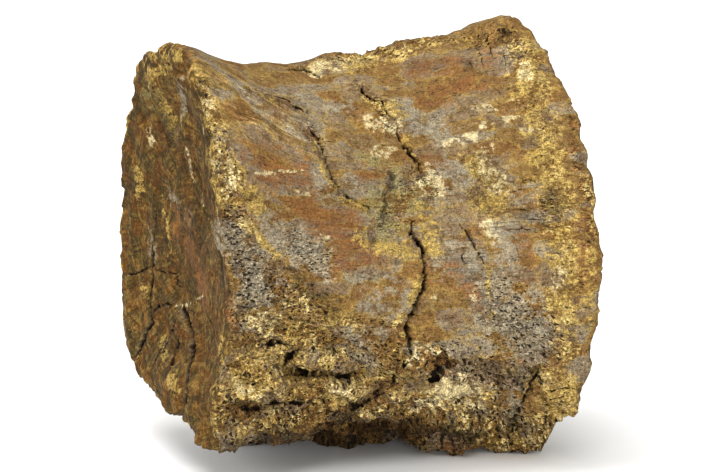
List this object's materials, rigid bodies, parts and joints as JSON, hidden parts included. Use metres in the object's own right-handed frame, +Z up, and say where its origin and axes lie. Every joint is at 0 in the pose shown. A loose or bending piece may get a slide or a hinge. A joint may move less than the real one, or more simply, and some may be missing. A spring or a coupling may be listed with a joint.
{
  "type": "fossil dinosaur vertebra",
  "caption": "Spool-shaped body of a fossil tail vertebra, with shallow end faces, a sunken waist, a cracked flank and a broken arch stump underneath.",
  "frame": {"origin": "centre of the bounding box in plan, on the surface that the bone rests on", "axes": "+X along the bone's long axis from the shallow-dished end face to the broad end, +Z up from the resting feet, -Y towards the weathered flank that the picture shows"},
  "size_m": [0.0999, 0.104, 0.1148],
  "materials": {
    "fossil_bone": null
  },
  "bodies": {
    "root": {"centrum": "fossil_bone"}
  },
  "joints": []
}
